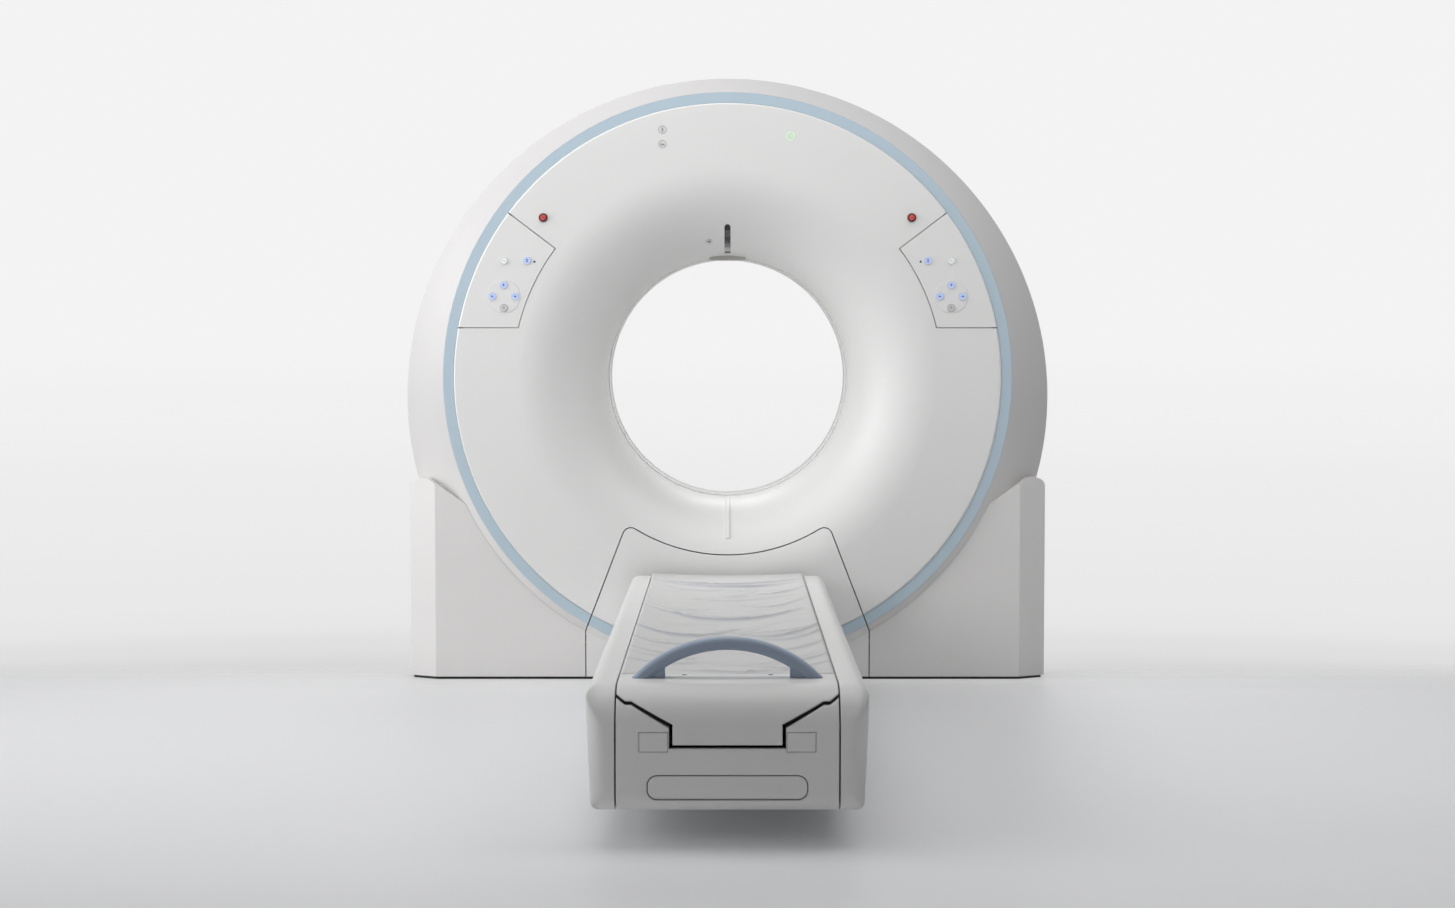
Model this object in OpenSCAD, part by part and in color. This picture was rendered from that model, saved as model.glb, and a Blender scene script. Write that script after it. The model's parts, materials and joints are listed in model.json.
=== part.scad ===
// CT scanner: ring gantry with a funnel-shaped aperture, lift couch and sliding tabletop
// Millimetres, +Z up, front towards -Y, origin on the floor below the aperture axis in the scan plane

/* [Gantry] */
// Diameter of the patient aperture
bore_d = 720; // [690:1:750]
// Height of the accent ring's lowest point over the floor
ring_lift = 55; // [45:1:65]
// Radial width of the front cover's flat between funnel and accent ring
flat_w = 193; // [180:1:205]
// Radial width of the accent ring
accent_w = 30; // [20:1:34]
// Set-back of the accent ring from the front face
accent_set = 4; // [2:0.5:6]
// Depth of the accent ring
accent_t = 20; // [14:1:24]
// Distance of the front face from the scan plane
front_f = 330; // [320:1:345]
// Distance of the rear face from the scan plane
rear_f = 400; // [385:1:430]
// Radius of the funnel lip
funnel_r = 240; // [228:1:250]
// Wall of the moulded covers
cover_t = 8; // [6:0.5:9]
// Rounding of the front cover's outer edge
cover_edge_r = 6; // [3:0.5:7]
// Depth of the covers' outer rim
rim_h = 40; // [36:1:46]
// Growth of the outer shell's radius over the front cover
shell_over = 154; // [145:1:160]
// Drop of the shell axis below the aperture axis
shell_drop = 82; // [74:1:88]
// Radial growth of the shell's rounded lip
lip_rise = 163; // [150:1:180]
// Axial run of the shell's rounded lip
lip_run = 296; // [285:1:305]
// Depth of the lip that runs on inside the base covers
lip_keep = 46; // [42:1:54]
// Depth by which the shell reaches down inside the base covers
shell_tuck = 86; // [70:1:100]
// Width of the scan window
window_w = 60; // [40:1:80]
// Wall of the scan window
window_t = 8; // [6:0.5:10]
// Step of the scan window into the aperture
window_step = 3; // [1:0.5:5]

/* [Base] */
// Step of the base covers inside the shell's radius
base_tuck = 18; // [10:1:24]
// Set-back of the base front from the front face
base_set = 18; // [15:1:22]
// Set-back of the base rear from the rear face
base_rear_set = 20; // [16:1:30]
// Width and depth of the corner chamfer
base_chamfer = [78, 38]; // [30:1:90]
// Drop of the base covers' top below the aperture axis
base_below = 291; // [280:1:305]
// Rounding of the base covers' upper outer edge
base_edge_r = 26; // [18:1:34]
// Width over which the base top is level
base_level_w = 55; // [45:1:65]
// Fall of the base top towards the ring in degrees
base_slope_deg = 33; // [30:1:35]
// Height of the shadow gap over the floor
plinth_gap = 8; // [5:1:12]
// Height of the plinth
plinth_h = 36; // [30:1:40]
// Wall of the plinth
plinth_t = 6; // [4:0.5:8]

/* [Lower panel] */
// Half width of the lower panel at the floor
panel_half_w = 415; // [400:1:430]
// Height of the lower panel's side knees
panel_knee_h = 143; // [134:1:160]
// Slant of the lower panel's sides in degrees
panel_slant_deg = 21; // [18:0.5:23]
// Distance of the lower panel's upper arc from the aperture
panel_over = 152; // [140:1:164]
// Rounding of the lower panel's upper corners
panel_corner_r = 25; // [20:1:32]
// Width of the open seams between covers
seam = 3; // [2:0.25:4]
// Seat clearance between fixed pieces
seat_gap = 0.2; // [0.1:0.05:0.4]

/* [Controls] */
// Distance of the control panels from the funnel
ctrl_in = 20; // [12:1:28]
// Upper edge of the control panels in degrees
ctrl_top_deg = 37.2; // [36:0.2:38]
// Height of the control panels' lower edge as a share of the face radius
ctrl_low_share = 0.183; // [0.17:0.001:0.2]
// Width of the control panels' back flange
flange_w = 6; // [4:0.5:8]
// Thickness of the control panels' back flange
flange_t = 4; // [3:0.5:6]
// Diameter of the panel buttons
button_d = 21; // [18:0.5:24]
// Height of a button over its panel
button_proud = 3.5; // [3:0.25:5]
// Radial clearance of a button
button_gap = 0.4; // [0.3:0.05:0.6]
// Width of the button's retaining flange
button_lip = 2; // [1.5:0.25:2.5]
// Place of the outer button on the flat's width from the funnel, as a share
button_out_share = 0.669; // [0.1:0.001:0.9]
// Place of the outer button round the axis in degrees
button_out_deg = 27.80; // [10:0.01:120]
// Place of the inner button on the flat's width from the funnel, as a share
button_in_share = 0.366; // [0.1:0.001:0.9]
// Place of the inner button round the axis in degrees
button_in_deg = 30.47; // [10:0.01:120]
// Place of the four-button pad on the flat's width from the funnel, as a share
pad_share = 0.456; // [0.1:0.001:0.9]
// Place of the four-button pad round the axis in degrees
pad_deg = 20.15; // [10:0.01:120]
// Step from the pad's centre to its buttons
pad_step = 33; // [30:0.5:36]
// Rim of the pad's raised disc round its buttons
pad_rim = 4; // [3:0.5:8]
// Height of the pad's raised disc
pad_t = 1; // [0.6:0.1:1.5]
// Place of the microphone hole on the flat's width from the funnel, as a share
mic_share = 0.264; // [0.1:0.001:0.9]
// Place of the microphone hole round the axis in degrees
mic_deg = 31.18; // [10:0.01:120]
// Diameter of the microphone hole
mic_d = 6; // [4:0.5:8]
// Place of the emergency stops on the flat's width from the funnel, as a share
estop_share = 0.543; // [0.1:0.001:0.9]
// Place of the emergency stops round the axis in degrees
estop_deg = 41.12; // [10:0.01:120]
// Diameter of the emergency stop button
estop_d = 20; // [18:0.5:24]
// Height of the emergency stop over the cover
estop_proud = 10; // [8:0.5:14]
// Wall of the emergency stop collar
collar_t = 2; // [1.5:0.25:3]
// Height of the collar over the cover
collar_proud = 3; // [2:0.25:4]
// Place of the status lamp on the flat's width from the funnel, as a share
lamp_share = 0.622; // [0.1:0.001:0.9]
// Place of the status lamp round the axis in degrees
lamp_deg = 75.44; // [10:0.01:120]
// Diameter of the status lamp
lamp_d = 25; // [20:0.5:30]
// Height of the lamp over the cover
lamp_proud = 1; // [0.5:0.1:2]
// Place of the upper icon disc on the flat's width from the funnel, as a share
icon_hi_share = 0.720; // [0.1:0.001:0.9]
// Place of the upper icon disc round the axis in degrees
icon_hi_deg = 104.66; // [10:0.01:120]
// Place of the lower icon disc on the flat's width from the funnel, as a share
icon_lo_share = 0.515; // [0.1:0.001:0.9]
// Place of the lower icon disc round the axis in degrees
icon_lo_deg = 105.51; // [10:0.01:120]
// Diameter of the icon discs
icon_d = 24; // [18:0.5:30]
// Thickness of the icon discs
icon_t = 2; // [1.5:0.25:3]

/* [Laser] */
// Width of the laser window
laser_w = 17.5; // [14:0.5:22]
// Distance of the laser window's upper end from the aperture
laser_up = 88; // [80:1:105]
// Distance of the laser window's lower end from the aperture
laser_low = 9; // [4:0.5:14]
// Set-back of the laser window
laser_set = 1; // [0.5:0.1:2]
// Width of the laser lens
lens_w = 106; // [90:1:120]
// Drop of the lens into the aperture
lens_drop = 10; // [8:0.5:12]
// Length of the lens along the aperture
lens_len = 70; // [50:1:90]
// Distance of the lens from the scan window
lens_set = 25; // [15:1:35]
// Distance of the round sensor from the aperture
sensor_up = 44; // [36:0.5:52]
// Place of the round sensor round the axis in degrees
sensor_deg = 97.7; // [92:0.1:110]
// Diameter of the round sensor
sensor_d = 20; // [16:0.5:24]
// Height of the sensor over the funnel
sensor_proud = 1; // [0.5:0.1:2]
// Width of the rib below the aperture
rib_w = 12; // [8:0.5:16]
// Height of the rib over the funnel
rib_h = 3; // [2:0.25:4]
// Length of the rib below the aperture
rib_len = 107; // [95:1:120]

/* [Rotor] */
// Front of the rotor disc from the scan plane
disc_f = -60; // [-70:1:-50]
// Thickness of the rotor disc
disc_t = 20; // [16:1:24]
// Distance of the rotor disc's inner edge from the aperture
disc_over = 45; // [40:1:52]
// Distance of the rotor rim inside the front cover's edge
rotor_in = 63; // [58:1:72]
// Wall of the rotor rim
rotor_rim_t = 44; // [38:1:50]
// Depth of the rotor rim
rotor_rim_h = 110; // [104:1:112]
// Running clearance of the rotor bearing
bearing_gap = 0.3; // [0.3:0.05:0.5]
// Wall of the outer bearing race
race_t = 34; // [28:1:38]
// Depth of the outer bearing race
race_h = 60; // [50:1:64]
// Wall of the bearing support ring
support_t = 40; // [34:1:46]
// Width of the support legs
leg_w = 124; // [110:1:140]
// Growth of the bearing support's depth over the rotor rim
support_over = 5; // [3:1:10]
// Set-back of the bearing support from the disc front
support_set = 10; // [8:1:14]
// Thickness of the floor frame
floor_t = 20; // [16:1:24]
// Anchor hole diameter
anchor_d = 22; // [18:1:26]
// Distance of the gantry anchors from the base's sides and ends
anchor_in = [160, 136]; // [100:1:200]
// Gap between the slip ring and the rotor rim
slip_gap = 36; // [30:1:44]
// Radial width of the slip ring
slip_w = 90; // [80:1:100]
// Thickness of the slip ring
slip_t = 16; // [12:1:20]
// Width of the brush block
brush_w = 80; // [60:1:100]
// Thickness of the brush arm
brush_t = 20; // [16:1:24]
// Distance of the x-ray tube from the rotor's edge
tube_edge = 20; // [16:1:30]
// Radius of the x-ray tube
tube_r = 110; // [100:1:114]
// Length of the x-ray tube
tube_h = 200; // [180:1:210]
// Width of the collimator
colli_w = 160; // [140:1:180]
// Depth of the collimator
colli_h = 90; // [80:1:100]
// Distance of the detector from the rotor disc's inner edge
detector_gap = 41; // [36:1:48]
// Thickness of the detector
detector_t = 60; // [50:1:70]
// Half angle of the detector in degrees
detector_deg = 25; // [20:1:26]
// Depth of the detector
detector_h = 100; // [80:1:110]
// Distance of the side units from the rotor disc's inner edge
unit_gap = 25; // [20:1:32]
// Distance of the side units from the rotor's edge
unit_edge = 60; // [52:1:70]
// Height of the side units
unit_h = 260; // [220:1:280]
// Depth of the high-voltage unit
unit_d = 180; // [150:1:190]
// Share of that depth that the counterweight takes
weight_share = 0.65; // [0.4:0.05:0.9]

/* [Couch] */
// Gap between the couch and the gantry front
couch_gap = 50; // [48:1:70]
// Length of the couch
couch_len = 2050; // [1990:1:2100]
// Half width of the couch
couch_half_w = 277; // [268:1:290]
// Height of the couch body
couch_h = 243; // [236:1:250]
// Height of the couch underside in the lowest position
couch_low = 68; // [62:1:76]
// Taper of each couch side towards the underside
couch_taper = 10; // [6:0.5:14]
// Rounding of the couch section
couch_edge_r = 24; // [16:1:30]
// Rounding of the couch nose
nose_r = 80; // [70:1:92]
// Rounding under the couch nose
chin_r = 40; // [30:1:50]
// Rounding of the nose in plan
plan_r = 40; // [30:1:50]
// Wall of the couch covers
couch_t = 6; // [5:0.5:7]
// Width of the side covers' top
side_w = 59; // [54:1:64]
// Distance of the raised side strips from the couch ends
strip_end = 125; // [110:1:150]
// Distance of the raised side strips from the underside and the top
strip_in = [52, 41]; // [35:1:60]
// Step of the raised side strips
strip_t = 2.5; // [2:0.25:3.5]
// Drops of the stepped seam below the couch top as shares of its height, from the outside in
step_share = [0.074, 0.128, 0.3, 0.465]; // [0.05:0.001:0.55]
// Distances of the stepped seam's corners from the side seam, from the outside in
step_in = [19, 31, 108]; // [15:1:115]
// Width of the stepped seam
step_gap = 7; // [6:0.5:8]
// Level length of the upper end cap behind the nose
cap_flat = 110; // [100:1:120]
// Wall of the couch frame's trough
trough_t = 5; // [4:0.5:6]
// Distance of the table guides from the stepped seam
guide_in = 14; // [10:1:20]
// Width of a table guide
guide_w = 22; // [16:1:28]
// Distance of the pill panel from the side seams
pill_in = 61.5; // [55:0.5:70]
// Height of the pill panel and of its lower edge as shares of the couch height
pill_share = [0.202, 0.107]; // [0.08:0.001:0.25]
// Rounding of the pill panel as a share of its height
pill_round_share = 0.41; // [0.3:0.01:0.45]
// Seam of the inset end panels
inset_seam = 1.5; // [1:0.25:2]
// Width of a hatch cover
hatch_w = 57; // [50:1:64]
// Height of the hatch covers and of their lower edge as shares of the couch height
hatch_share = [0.16, 0.494]; // [0.1:0.001:0.6]
// Thickness of the inset end panels
inset_t = 4; // [3:0.25:5]

/* [Lift] */
// Distance of the lift's middle from the couch's rear end
lift_back = 920; // [880:1:960]
// Half width and half length of the fixed lift column
column = [118, 380]; // [100:1:400]
// Wall of the lift stages
stage_t = 4; // [3:0.25:5]
// Sliding clearance of the lift stages
stage_gap = 0.6; // [0.5:0.05:0.8]
// Thickness of the couch floor plate
plate_t = 12; // [10:1:14]
// Growth of the couch floor plate over the lift column
plate_over = [72, 50]; // [40:1:90]
// Distance of the couch anchors from the plate's sides and ends
couch_anchor_in = [25, 15]; // [14:1:35]
// Headroom of the lift stages under the trough
stage_head = 8; // [7:0.5:10]
// Foot room of the lift stages over the floor plate
stage_foot = 4; // [3:0.5:6]
// Lift motor: width, length and height
motor = [150, 260, 110]; // [80:1:280]

/* [Tabletop] */
// Clearance of the tabletop to the side seams
table_in = 15; // [12:1:20]
// Thickness of the tabletop plate
table_t = 12; // [11:0.5:14]
// Wall of the tabletop keel
keel_t = 6; // [5:0.5:8]
// Clearance of the mattress to the side seams
mattress_in = 2.5; // [2:0.25:6]
// Height of the mattress
mattress_h = 18; // [16:0.5:22]
// Rounding of the mattress
mattress_r = 7; // [5:0.5:8]
// Clearance round the mattress
mattress_gap = 0.3; // [0.3:0.05:0.6]
// Distance of the mattress from the ends of the tabletop
mattress_end = 3; // [2:0.5:6]
// Distance of the handle from the side seams
handle_side = 27; // [22:1:34]
// Height of the handle over the couch top
handle_h = 82; // [74:1:90]
// Thickness of the handle bar
handle_t = 26; // [22:1:30]
// Depth of the handle bar
handle_d = 36; // [30:1:42]
// Rounding of the handle bar
handle_edge = 10; // [7:0.5:10.5]
// Width of the handle feet
handle_foot_w = 66; // [58:1:74]
// Height of the handle feet
foot_h = 20; // [16:1:24]
// Distance of the handle from the rear of the end cap
handle_set = 22; // [18:1:28]

/* [Hidden] */
overrun = 5;
tip_ease = 0.1;
quarter = 90;
fn_round = 96;
$fn = fn_round;
bore_r = bore_d / 2;
funnel_c = bore_r + funnel_r;
face_r = funnel_c + flat_w;
open_r = face_r + accent_w + seat_gap;
iso_h = face_r + accent_w + ring_lift;
shell_r = face_r + shell_over;
lip_front = front_f - accent_set;
lip_rear = rear_f - accent_set;
lip_a = (lip_rise * lip_rise + lip_run * lip_run) / (2 * lip_rise);
lip_c = open_r + lip_rise - lip_a;
reach = 2 * shell_r;
base_half_w = shell_r - base_tuck;
base_f = front_f - base_set;
base_rear_f = rear_f - base_rear_set;
base_h = iso_h - base_below;
base_slope_x = base_half_w - base_level_w;
base_mid = (base_rear_f - base_f) / 2;
base_depth = base_f + base_rear_f;
base_fall = tan(base_slope_deg);
base_n = [base_chamfer[1], base_chamfer[0]] / norm(base_chamfer);
shell_end_h = base_h - shell_tuck;
shell_floor = plinth_h + seat_gap;
gantry_anchor = [2 * (base_half_w - anchor_in[0]), base_depth - 2 * anchor_in[1]];
panel_arc_r = bore_r + panel_over;
knee = [panel_half_w, panel_knee_h - iso_h];
slant_n = [-cos(panel_slant_deg), -sin(panel_slant_deg)];
tip_c_r = panel_arc_r + panel_corner_r;
tip_k = knee[0] * slant_n[0] + knee[1] * slant_n[1] + panel_corner_r;
tip_deg = 2 * quarter + panel_slant_deg + acos(tip_k / tip_c_r);
tip_c = [tip_c_r * cos(tip_deg), tip_c_r * sin(tip_deg)];
tip_out = -slant_n - [cos(tip_deg), sin(tip_deg)];
ctrl_in_r = funnel_c + ctrl_in;
ctrl_low_u = face_r * ctrl_low_share;
button_r = button_d / 2;
pad_r = pad_step + button_r + pad_rim;
estop_r = estop_d / 2;
collar_r = estop_r + button_gap + collar_t;
lamp_r = lamp_d / 2;
icon_r = icon_d / 2;
laser_top_r = bore_r + laser_up;
laser_low_r = bore_r + laser_low;
lens_f = window_w / 2 + lens_set;
rib_end_r = bore_r + rib_len;
sensor_rad = bore_r + sensor_up;
sensor_f = front_f - funnel_r + sqrt(funnel_r * funnel_r - pow(funnel_c - sensor_rad, 2));
sensor_tilt = acos((sensor_f - front_f + funnel_r) / funnel_r);
disc_in_r = bore_r + disc_over;
rotor_r = face_r - rotor_in;
race_in_r = rotor_r + bearing_gap;
race_out_r = race_in_r + race_t;
support_in_r = race_out_r + seat_gap;
support_r = support_in_r + support_t;
support_h = rotor_rim_h + support_over;
leg_in = support_in_r - leg_w;
disc_back_f = disc_f - disc_t;
support_f = disc_f - support_set - support_h;
slip_out_r = rotor_r - rotor_rim_t - slip_gap;
slip_in_r = slip_out_r - slip_w;
slip_f = disc_back_f - seat_gap - slip_t;
front_seat_f = disc_f + seat_gap;
tube_c = rotor_r - tube_edge - tube_r;
detector_r = tube_c + disc_in_r + detector_gap;
unit_in = disc_in_r + unit_gap;
unit_w = rotor_r - unit_edge - unit_in;
couch_rear_f = front_f + couch_gap;
couch_front_f = couch_rear_f + couch_len;
couch_top = couch_low + couch_h;
cap_len = nose_r + cap_flat;
cap_f = couch_front_f - cap_len;
side_x = couch_half_w - side_w;
step_z = [for (s = step_share) couch_top - couch_h * s];
step_x = [for (d = step_in) side_x - d];
half_step = step_gap / 2;
pill = [2 * (side_x - pill_in), couch_h * pill_share[0], couch_low + couch_h * pill_share[1]];
pill_r = pill[1] * pill_round_share;
hatch = [hatch_w, couch_h * hatch_share[0], couch_low + couch_h * hatch_share[1]];
guide_x = step_x[2] - guide_in;
lift_f = couch_rear_f + lift_back;
plate = column + plate_over;
couch_anchor = 2 * (plate - couch_anchor_in);
stage_low = plate_t + stage_foot;
stage_top = step_z[3] - half_step - trough_t - stage_head;
stage_step = stage_t + stage_gap;
table_z = step_z[1] + half_step + seat_gap;
table_half_w = side_x - table_in;
mattress_z = table_z + table_t + mattress_gap;
mattress_half_w = side_x - mattress_in;
handle_half = side_x - handle_side;
handle_r = (handle_half * handle_half + handle_h * handle_h) / (2 * handle_h);
handle_c = couch_top + handle_h - handle_r;
handle_in_r = handle_r - handle_t;
handle_in = handle_half - handle_foot_w;
handle_f = cap_f + handle_set;

// Place on the flat of the front cover from a share of its width and an angle

function flat_spot(share, deg) = (funnel_c + share * flat_w) * [cos(deg), sin(deg)];

// Corner v between two walls with outward directions a and b, set in by e

function corner_in(v, a, b, e) = v - e * (a + b) / (1 + a * b);

// Frames: x across, y up and z forward, from the aperture axis and from the floor

module face() {
  translate([0, 0, iso_h]) rotate([90, 0, 0]) children();
}

module ground() {
  rotate([90, 0, 0]) children();
}

module spin() {
  face() rotate_extrude() children();
}

module face_plate(f0, f1) {
  face() translate([0, 0, f0]) linear_extrude(f1 - f0) children();
}

module ground_plate(f0, f1) {
  ground() translate([0, 0, f0]) linear_extrude(f1 - f0) children();
}

module both_sides() {
  children();
  mirror([1, 0, 0]) children();
}

module rounded(w, h, r) {
  translate([r, 0]) square([w - 2 * r, h]);
  translate([0, r]) square([w, h - 2 * r]);
  for (x = [r, w - r], y = [r, h - r]) translate([x, y]) circle(r);
}

// Section of a moulded cover in radius and depth, set back by e from the visible surface

module cover_block(e, out_r, face_f) {
  translate([funnel_c, 0]) square([out_r - e - funnel_c, face_f - e]);
  translate([funnel_c, face_f - funnel_r]) circle(funnel_r - e);
  translate([bore_r + e, 0]) square([funnel_r - e, face_f - funnel_r]);
}

module cover_layer(e0, e1, out_r, face_f) {
  intersection() {
    difference() {
      cover_block(e0, out_r, face_f);
      cover_block(e1, out_r, face_f);
    }
    translate([0, window_w / 2 + seat_gap]) square([reach, reach]);
  }
}

module cover_skin(out_r, face_f) {
  difference() {
    cover_layer(0, cover_t, out_r, face_f);
    translate([funnel_c, -overrun]) square([reach, face_f - rim_h + overrun]);
    difference() {
      translate([out_r - cover_edge_r, face_f - cover_edge_r]) square(cover_edge_r + overrun);
      translate([out_r - cover_edge_r, face_f - cover_edge_r]) circle(cover_edge_r);
    }
  }
}

// Outer shell solid: rounded lips about the aperture axis, within a drum about a lower axis

module lip_area(e) {
  intersection() {
    union() {
      translate([lip_c, lip_front - lip_run]) circle(lip_a - e);
      translate([lip_c, lip_run - lip_rear]) circle(lip_a - e);
      translate([0, lip_run - lip_rear]) square([lip_c + lip_a - e, lip_front + lip_rear - 2 * lip_run]);
      translate([0, -lip_rear]) square([lip_c, lip_front + lip_rear]);
    }
    translate([0, e - lip_rear]) square([reach, lip_front + lip_rear - 2 * e]);
  }
}

module shell_solid(e) {
  intersection() {
    spin() lip_area(e);
    face_plate(-reach, reach) translate([0, -shell_drop]) circle(shell_r - e);
  }
}

module shell_wall() {
  difference() {
    shell_solid(0);
    shell_solid(cover_t);
    face_plate(-reach, reach) circle(open_r);
  }
}

// Front regions about the aperture axis, set in by e

module slant_side(e) {
  translate(knee) rotate(panel_slant_deg) translate([-reach - e, -reach]) square([reach, 2 * reach]);
}

module tip_cut(e) {
  t1 = tip_c - (panel_corner_r - e) * slant_n;
  t2 = tip_c * (panel_arc_r + e) / tip_c_r;
  polygon([t1, t1 + 2 * panel_corner_r * tip_out, t2 + 2 * panel_corner_r * tip_out, t2]);
}

module lower_region(e) {
  difference() {
    intersection() {
      translate([e - panel_half_w, plinth_gap - iso_h]) square([2 * (panel_half_w - e), iso_h]);
      slant_side(e);
      mirror([1, 0]) slant_side(e);
    }
    circle(panel_arc_r + e);
    tip_cut(e);
    mirror([1, 0]) tip_cut(e);
  }
  for (m = [-1, 1]) translate([m * tip_c[0], tip_c[1]]) circle(panel_corner_r - e - tip_ease);
}

module ctrl_region(e) {
  intersection() {
    difference() {
      circle(face_r + overrun);
      circle(ctrl_in_r + e);
    }
    translate([0, ctrl_low_u + e]) square([reach, reach]);
    rotate(ctrl_top_deg) translate([0, -reach - e]) square([reach, reach]);
  }
}

module slot_region(w, r0, r1, e) {
  translate([e - w / 2, r0 + e]) square([w - 2 * e, r1 - r0 - w / 2 - e]);
  translate([0, r1 - w / 2]) circle(w / 2 - e);
}

module pad_spots() {
  translate(flat_spot(button_out_share, button_out_deg)) children();
  translate(flat_spot(button_in_share, button_in_deg)) children();
  for (k = [0:3]) translate(flat_spot(pad_share, pad_deg)) rotate(k * quarter) translate([pad_step, 0]) children();
}

module icon_spots() {
  translate(flat_spot(icon_hi_share, icon_hi_deg)) children();
  translate(flat_spot(icon_lo_share, icon_lo_deg)) children();
}

// Base plan and walls, set in by e

module base_plan(e) {
  end = base_depth / 2;
  v1 = corner_in([base_half_w - base_chamfer[0], end], [0, 1], base_n, e);
  v2 = corner_in([base_half_w, end - base_chamfer[1]], [1, 0], base_n, e);
  translate([0, base_mid]) polygon([v1, v2, [v2[0], -v2[1]], [v1[0], -v1[1]],
    -v1, -v2, [-v2[0], v2[1]], [-v1[0], v1[1]]]);
}

module base_profile(e, low) {
  w = base_half_w - e;
  h = base_h - e;
  foot = plinth_h + cover_t + seat_gap - e;
  foot_x = max(base_slope_x - (h - foot) / base_fall, overrun);
  intersection() {
    union() {
      translate([0, low]) square([w - base_edge_r, h - low]);
      translate([0, low]) square([w, h - base_edge_r - low]);
      translate([w - base_edge_r, h - base_edge_r]) circle(base_edge_r);
    }
    polygon([[0, low], [w, low], [w, h], [base_slope_x, h], [foot_x, foot], [0, foot]]);
  }
}

module base_solid(e, low) {
  intersection() {
    linear_extrude(base_h + overrun) base_plan(e);
    ground_plate(-reach, reach) {
      base_profile(e, low);
      mirror([1, 0]) base_profile(e, low);
    }
  }
}

module base_walls() {
  difference() {
    base_solid(0, plinth_gap);
    base_solid(cover_t, 0);
  }
}

// Gantry stand

module floor_frame() {
  color("dimgray") difference() {
    linear_extrude(floor_t) base_plan(cover_t + plinth_t + 2 * seat_gap);
    for (x = [-gantry_anchor[0], gantry_anchor[0]] / 2, y = [-gantry_anchor[1], gantry_anchor[1]] / 2)
      translate([x, y + base_mid, -overrun]) cylinder(d = anchor_d, h = floor_t + 2 * overrun);
  }
}

module plinth() {
  color("black") linear_extrude(plinth_h) difference() {
    base_plan(cover_t + seat_gap);
    base_plan(cover_t + seat_gap + plinth_t);
  }
}

module bearing_support() {
  leg_low = floor_t + seat_gap - iso_h;
  color("gray") face_plate(support_f, support_f + support_h) difference() {
    union() {
      circle(support_r);
      difference() {
        translate([-support_in_r, leg_low]) square([2 * support_in_r, -leg_low]);
        translate([-leg_in, leg_low - overrun]) square([2 * leg_in, -leg_low]);
      }
    }
    circle(support_in_r);
  }
}

module bearing_outer() {
  color("silver") face_plate(support_f + support_h - race_h, support_f + support_h) difference() {
    circle(race_out_r);
    circle(race_in_r);
  }
}

module drive_stator() {
  color("darkgoldenrod") face_plate(support_f, support_f + support_h - race_h - seat_gap) difference() {
    circle(race_out_r);
    circle(race_in_r);
  }
}

module brush_block() {
  arm_f = support_f - seat_gap;
  color("dimgray") {
    face_plate(arm_f - brush_t, arm_f) translate([-brush_w / 2, -support_r])
      square([brush_w, support_r - slip_in_r]);
    face_plate(arm_f - brush_t, slip_f - bearing_gap) translate([-brush_w / 2, -slip_out_r])
      square([brush_w, slip_w]);
  }
}

// Gantry covers

module front_skin() {
  spin() cover_skin(face_r, front_f);
}

module lower_cut() {
  face_plate(0, front_f + overrun) lower_region(0);
}

module cover_holes() {
  back = front_f - cover_t - overrun;
  both_sides() face_plate(front_f - rim_h - overrun, front_f + overrun) ctrl_region(0);
  both_sides() face_plate(back, front_f + overrun) translate(flat_spot(estop_share, estop_deg)) circle(collar_r + seat_gap);
  face_plate(back, front_f + overrun) translate(flat_spot(lamp_share, lamp_deg)) circle(lamp_r + seat_gap);
  face_plate(front_f - icon_t - seat_gap, front_f + overrun)
    icon_spots() circle(icon_r + seat_gap);
  face_plate(0, front_f + overrun) slot_region(laser_w, laser_low_r, laser_top_r, 0);
  sensor_post(seat_gap, cover_t);
}

module sensor_post(e, depth) {
  face() rotate(sensor_deg - quarter) translate([0, sensor_rad, sensor_f]) rotate([sensor_tilt, 0, 0])
    translate([0, 0, -depth - e]) cylinder(d = sensor_d + 2 * e, h = depth + e + sensor_proud);
}

module rib() {
  intersection() {
    spin() cover_layer(-rib_h, cover_t / 2, face_r, front_f);
    face_plate(front_f - funnel_r, front_f) mirror([0, 1]) slot_region(rib_w, bore_r / 2, rib_end_r, 0);
  }
}

module front_cover() {
  color("white") {
    difference() {
      front_skin();
      cover_holes();
      lower_cut();
    }
    rib();
  }
}

module accent_section() {
  translate([face_r + seat_gap, lip_front - accent_t]) square([accent_w - seat_gap, accent_t]);
}

module accent_ring() {
  color("lightsteelblue") difference() {
    spin() accent_section();
    lower_cut();
  }
}

module outer_shell() {
  color("white") difference() {
    shell_wall();
    translate([-reach, lip_keep - lip_front, -reach])
      cube([2 * reach, lip_front + lip_rear - 2 * lip_keep, reach + shell_end_h]);
    translate([-reach, -reach, -reach]) cube([2 * reach, 2 * reach, reach + shell_floor]);
    lower_cut();
  }
}

module rear_cover() {
  color("white") spin() mirror([0, 1]) cover_skin(face_r + accent_w, rear_f);
}

module scan_window() {
  color("ghostwhite") face_plate(-window_w / 2, window_w / 2) difference() {
    circle(bore_r + window_t);
    circle(bore_r - window_step);
  }
}

module base_cover_right() {
  color("whitesmoke") difference() {
    base_walls();
    translate([seam / 2 - reach, -reach, -reach]) cube([reach, 2 * reach, 2 * reach]);
    shell_solid(-seat_gap);
    lower_cut();
  }
}

module base_cover_left() {
  mirror([1, 0, 0]) base_cover_right();
}

module lower_panel() {
  color("white") difference() {
    intersection() {
      union() {
        front_skin();
        intersection() {
          spin() translate([face_r - cover_t, front_f - rim_h]) square([open_r + cover_t, accent_t / 2]);
          shell_solid(cover_t / 2);
        }
        shell_wall();
        difference() {
          base_walls();
          face_plate(-reach, reach) circle(open_r + cover_t);
        }
      }
      face_plate(lip_front - lip_keep, front_f + overrun) lower_region(seam);
    }
    linear_extrude(plinth_h + seat_gap) base_plan(cover_t);
  }
}

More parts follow.
